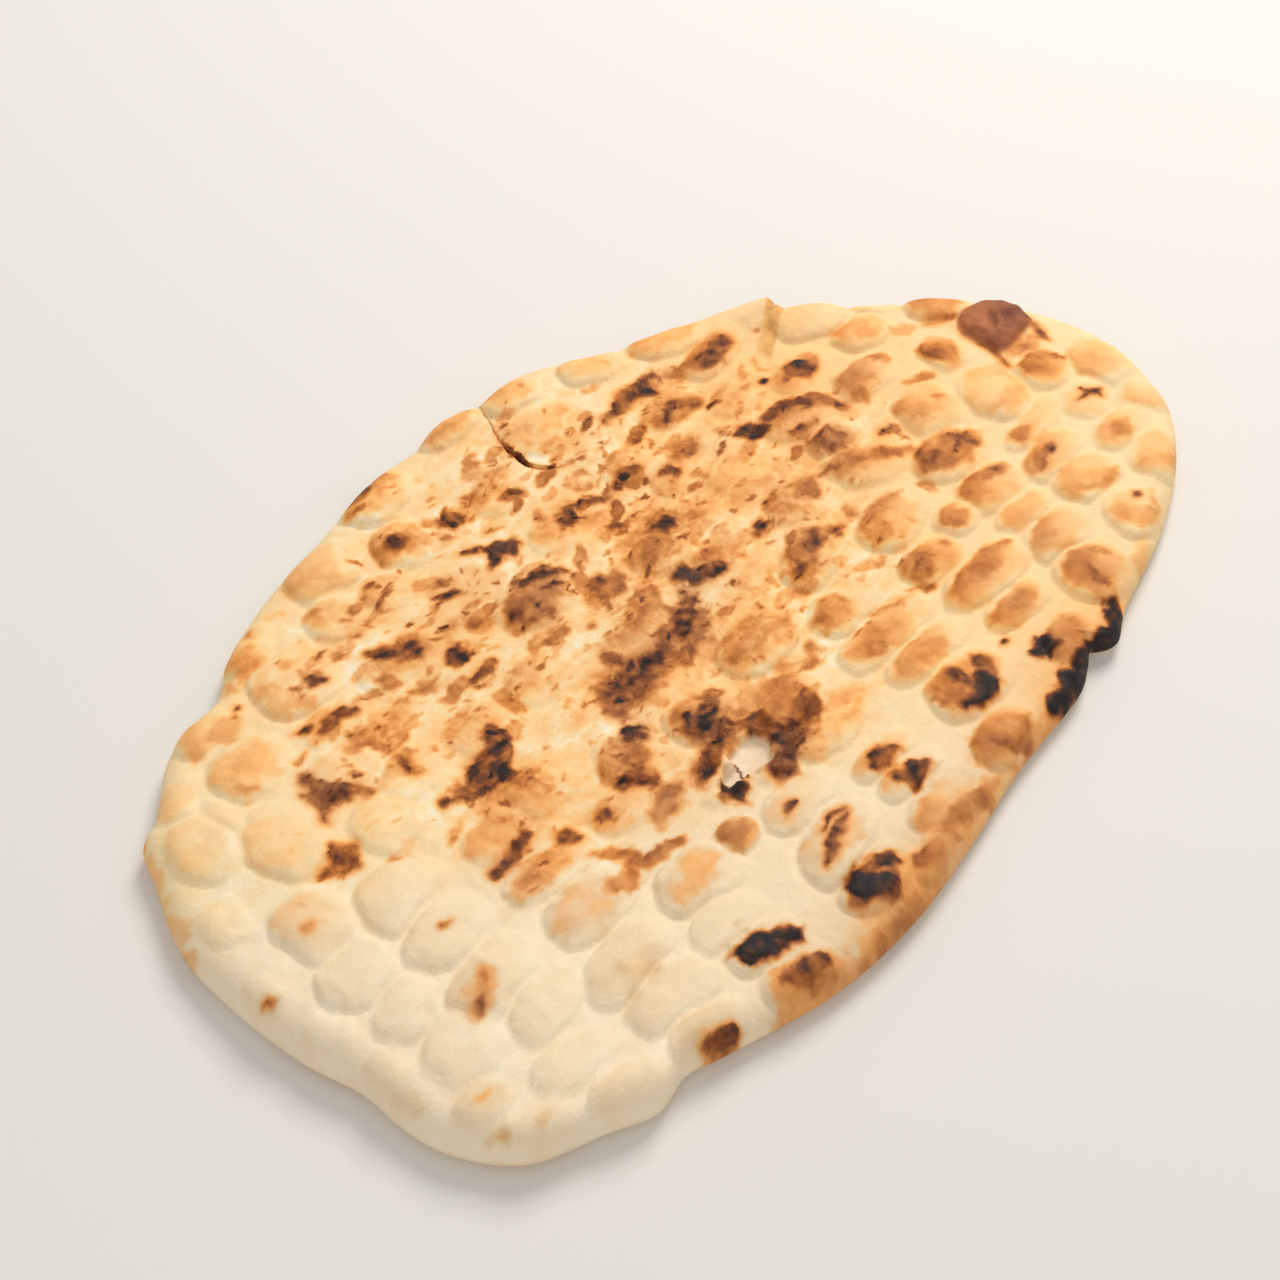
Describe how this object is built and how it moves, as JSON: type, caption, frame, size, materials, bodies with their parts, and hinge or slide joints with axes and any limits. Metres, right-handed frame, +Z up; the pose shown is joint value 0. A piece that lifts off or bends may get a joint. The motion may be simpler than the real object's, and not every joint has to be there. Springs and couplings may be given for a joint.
{
  "type": "taftoon flatbread",
  "caption": "Long oval hand-stretched flatbread with a half-round edge, finger-pressed pillows, scorched spots, a curled torn flap and a crack at the edge.",
  "frame": {"origin": "on the surface the bread lies on, under the middle of its outline", "axes": "+X along the bread to its narrow end, +Y across it towards the cracked edge, +Z up"},
  "size_m": [0.413, 0.26, 0.0211],
  "materials": {
    "crust": "matt baked crust, cream in the hollows, browned on the pillows, scorched dark in spots"
  },
  "bodies": {
    "root": {"bread": "crust"}
  },
  "joints": []
}
